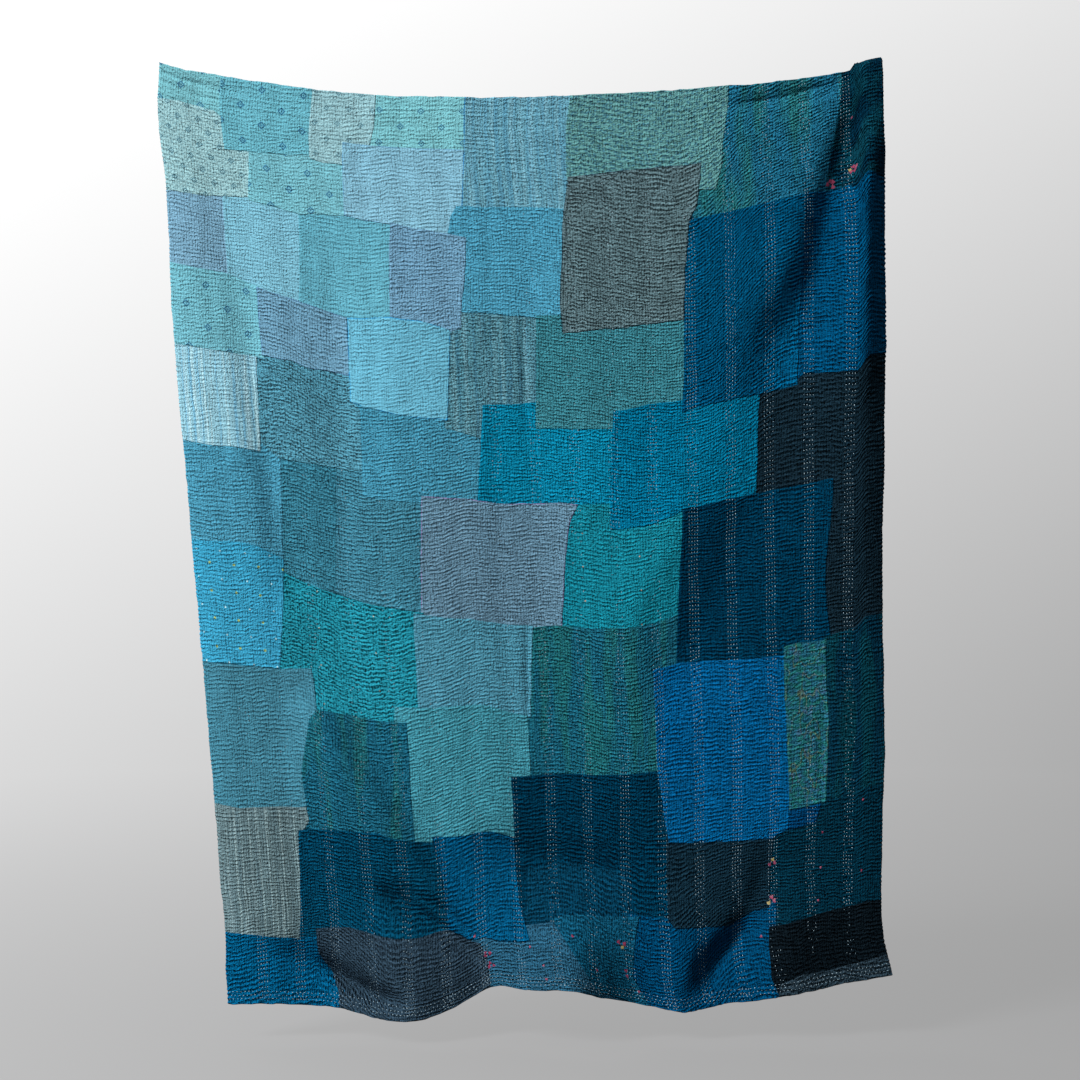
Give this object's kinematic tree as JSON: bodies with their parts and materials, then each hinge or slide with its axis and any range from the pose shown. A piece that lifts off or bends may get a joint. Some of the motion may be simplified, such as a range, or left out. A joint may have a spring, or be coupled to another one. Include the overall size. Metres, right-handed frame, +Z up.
{
  "type": "kantha quilt",
  "caption": "Patchwork kantha quilt held out by its two top corners, hanging with soft folds, a rolled corner and a hem kicked forward at its middle.",
  "frame": {"origin": "middle of the top edge, on the face that shows", "axes": "+X to the right as seen from the front, -Y out of the front face, +Z up along the hanging cloth"},
  "size_m": [1.3813, 0.1524, 1.8058],
  "materials": {
    "dyed_cotton": "matte stitched cotton in teals, blues and greens"
  },
  "bodies": {
    "root": {"quilt": "dyed_cotton"}
  },
  "joints": []
}
